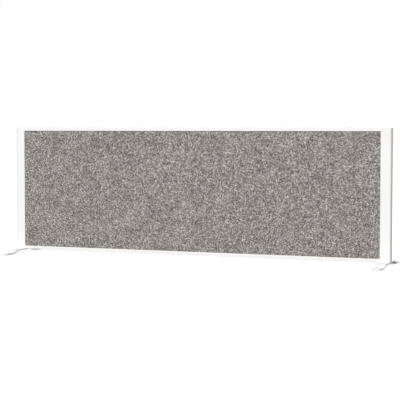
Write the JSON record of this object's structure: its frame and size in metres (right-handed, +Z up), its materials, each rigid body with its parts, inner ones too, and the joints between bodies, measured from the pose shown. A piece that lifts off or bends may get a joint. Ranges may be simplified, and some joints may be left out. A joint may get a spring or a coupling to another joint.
{
  "type": "acoustic divider screen",
  "caption": "Low desktop acoustic screen: a grey felt-faced sound-absorbing panel in a slim white metal frame with wide posts on gull-winged feet.",
  "frame": {"origin": "on the table, at the middle of the screen's length and depth, in the plane of the pads' undersides", "axes": "+X along the screen to the right seen from the front, -Y to the front, +Z up"},
  "size_m": [1.6, 0.33, 0.525],
  "materials": {
    "white_coat": "fine matt powder coat",
    "white_plastic": "moulded satin",
    "grey_felt": "warm grey melange felt",
    "core_fibre": "bonded polyester fibre board",
    "batten_wood": "planed softwood",
    "zinc_steel": "bright zinc plate",
    "insert_alloy": "as cast, machined faces",
    "pad_rubber": "matt rubber"
  },
  "bodies": {
    "root": {"acoustic_core": "core_fibre", "back_felt": "grey_felt", "back_left_pad": "pad_rubber", "back_right_pad": "pad_rubber", "bottom_batten": "batten_wood", "bottom_rail": "white_coat", "bottom_rail_set_screws": "zinc_steel", "front_felt": "grey_felt", "front_left_pad": "pad_rubber", "front_right_pad": "pad_rubber", "left_base_insert": "insert_alloy", "left_batten": "batten_wood", "left_bottom_bracket": "zinc_steel", "left_bracket_screws": "zinc_steel", "left_end_cap": "white_plastic", "left_foot": "white_coat", "left_foot_screws": "zinc_steel", "left_top_bracket": "zinc_steel", "left_top_insert": "insert_alloy", "left_upright": "white_coat", "right_base_insert": "insert_alloy", "right_batten": "batten_wood", "right_bottom_bracket": "zinc_steel", "right_bracket_screws": "zinc_steel", "right_end_cap": "white_plastic", "right_foot": "white_coat", "right_foot_screws": "zinc_steel", "right_top_bracket": "zinc_steel", "right_top_insert": "insert_alloy", "right_upright": "white_coat", "top_batten": "batten_wood", "top_rail": "white_coat", "top_rail_set_screws": "zinc_steel"}
  },
  "joints": []
}
